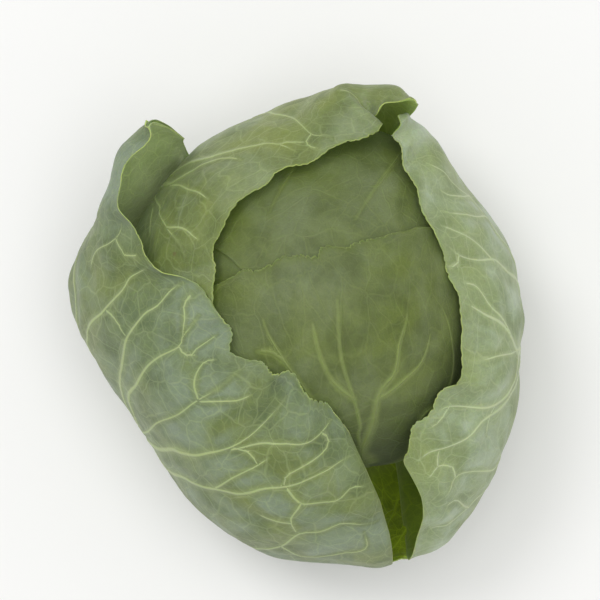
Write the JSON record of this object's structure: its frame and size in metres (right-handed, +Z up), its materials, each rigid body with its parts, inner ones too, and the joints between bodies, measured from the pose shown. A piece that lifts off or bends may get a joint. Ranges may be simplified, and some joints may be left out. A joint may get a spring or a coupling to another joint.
{
  "type": "green cabbage",
  "caption": "Round smooth-leaved green cabbage with a dense closed head and loose waved wrapper leaves, standing on its cut stem.",
  "frame": {"origin": "centre of the cut face at the bottom of the stem, which the head stands on", "axes": "+Z up along the stem's axis towards the crown, +X towards the right leaf, +Y towards the hooded top leaf"},
  "size_m": [0.2224, 0.234, 0.1675],
  "materials": {
    "stem_pith": "moist fibrous cut stem, matte",
    "heart_leaf": "smooth waxy green leaf, satin",
    "cap_leaf": "smooth waxy olive green leaf, satin",
    "wrapper_leaf": "grey-green leaf with a wax bloom and pale veins, satin",
    "base_leaf": "grey-green leaf, deep green inside, satin"
  },
  "bodies": {
    "root": {"stem": "stem_pith", "heart": "heart_leaf", "cap_leaf": "cap_leaf", "right_leaf": "wrapper_leaf", "top_leaf": "wrapper_leaf", "left_leaf": "wrapper_leaf", "base_leaf": "base_leaf"}
  },
  "joints": []
}
